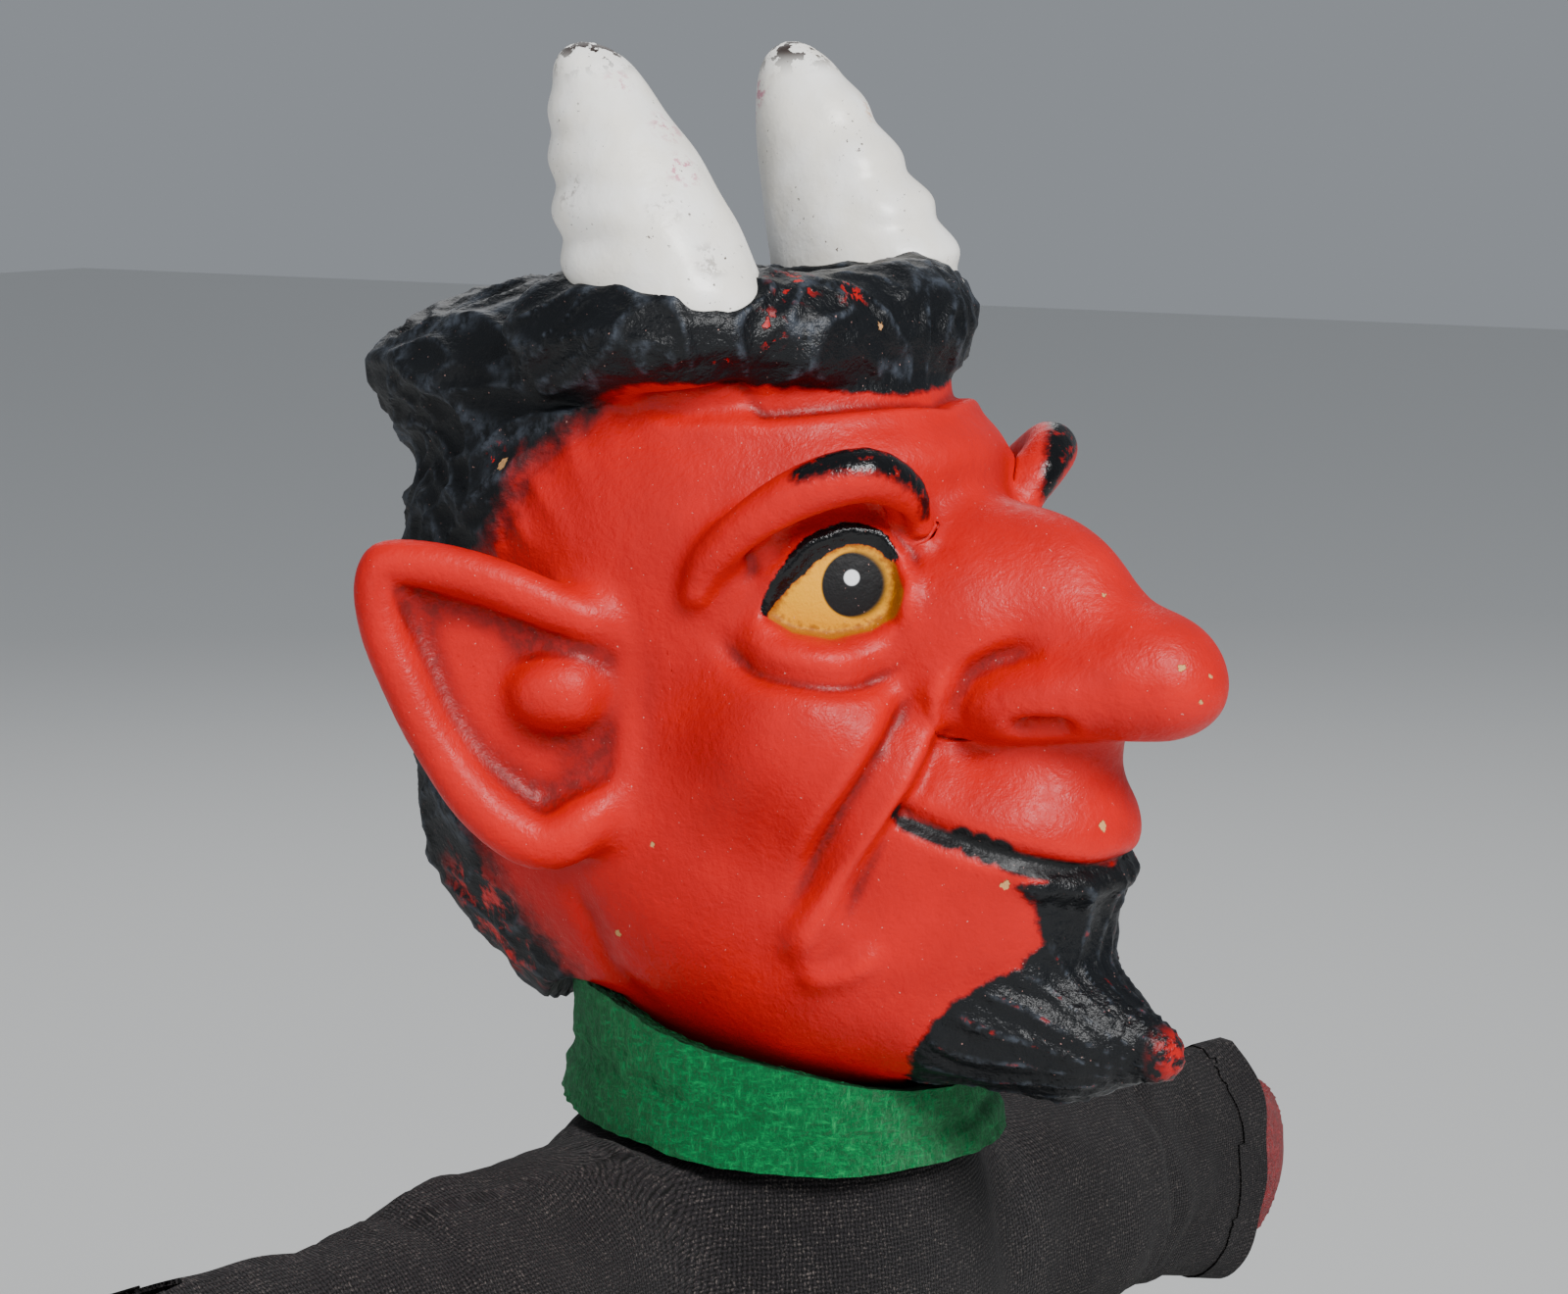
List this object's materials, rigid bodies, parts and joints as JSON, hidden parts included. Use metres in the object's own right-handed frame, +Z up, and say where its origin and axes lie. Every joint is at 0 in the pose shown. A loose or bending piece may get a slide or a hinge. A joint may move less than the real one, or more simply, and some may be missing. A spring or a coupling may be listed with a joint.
{
  "type": "hand puppet",
  "caption": "Glove hand puppet of a stock folk-theatre devil: hollow vinyl head with horns, felt collar, cloth glove and felt hands; head nods, tilts and turns, arms raise and bend.",
  "frame": {"origin": "middle of the glove's open hem, on the plane of the hem's lower edge", "axes": "+Z up the body to the horns, -Y the way the face looks, -X towards the puppet's own right hand"},
  "size_m": [0.2667, 0.1195, 0.3225],
  "materials": {
    "vinyl_red": "satin painted soft vinyl",
    "horn_white": "satin white paint on soft vinyl",
    "glove_cloth": "coarse plain weave",
    "collar_felt": "wool felt",
    "hand_felt": "wool felt",
    "cord": "twisted cotton",
    "card": "rolled grey card"
  },
  "bodies": {
    "glove": {"glove_front": "glove_cloth", "glove_back": "glove_cloth", "hem_band": "glove_cloth"},
    "yoke": {"neck_gusset": "glove_cloth"},
    "neck": {"glove_neckband": "glove_cloth", "binding_cord": "cord", "felt_collar": "collar_felt"},
    "head": {"head_shell": "vinyl_red", "finger_tube": "card", "right_horn": "horn_white", "left_horn": "horn_white"},
    "right_upper_arm": {"right_upper_sleeve": "glove_cloth"},
    "right_forearm": {"right_lower_sleeve": "glove_cloth", "right_cuff": "glove_cloth", "right_hand_front": "hand_felt", "right_hand_back": "hand_felt"},
    "left_upper_arm": {"left_upper_sleeve": "glove_cloth"},
    "left_forearm": {"left_lower_sleeve": "glove_cloth", "left_cuff": "glove_cloth", "left_hand_front": "hand_felt", "left_hand_back": "hand_felt"}
  },
  "joints": [
    {"name": "head_nod", "type": "hinge", "parent": "glove", "child": "yoke", "pos_m": [0, 0, 0.178], "axis": [1, 0, 0], "range_deg": [-20, 25]},
    {"name": "head_tilt", "type": "hinge", "parent": "yoke", "child": "neck", "pos_m": [0, 0, 0.178], "axis": [0, 1, 0], "range_deg": [-10, 10]},
    {"name": "head_turn", "type": "hinge", "parent": "neck", "child": "head", "pos_m": [0, 0, 0.178], "axis": [0, 0, 1], "range_deg": [-40, 40]},
    {"name": "right_arm_raise", "type": "hinge", "parent": "glove", "child": "right_upper_arm", "pos_m": [-0.046, 0, 0.162], "axis": [0, 1, 0], "range_deg": [-45, 35]},
    {"name": "right_arm_bend", "type": "hinge", "parent": "right_upper_arm", "child": "right_forearm", "pos_m": [-0.08173, 0, 0.16639], "axis": [0.1219, 0, 0.9925], "range_deg": [-10, 50]},
    {"name": "left_arm_raise", "type": "hinge", "parent": "glove", "child": "left_upper_arm", "pos_m": [0.046, 0, 0.162], "axis": [0, -1, 0], "range_deg": [-33, 45]},
    {"name": "left_arm_bend", "type": "hinge", "parent": "left_upper_arm", "child": "left_forearm", "pos_m": [0.08173, 0, 0.15761], "axis": [-0.1219, 0, -0.9925], "range_deg": [-10, 50]}
  ]
}
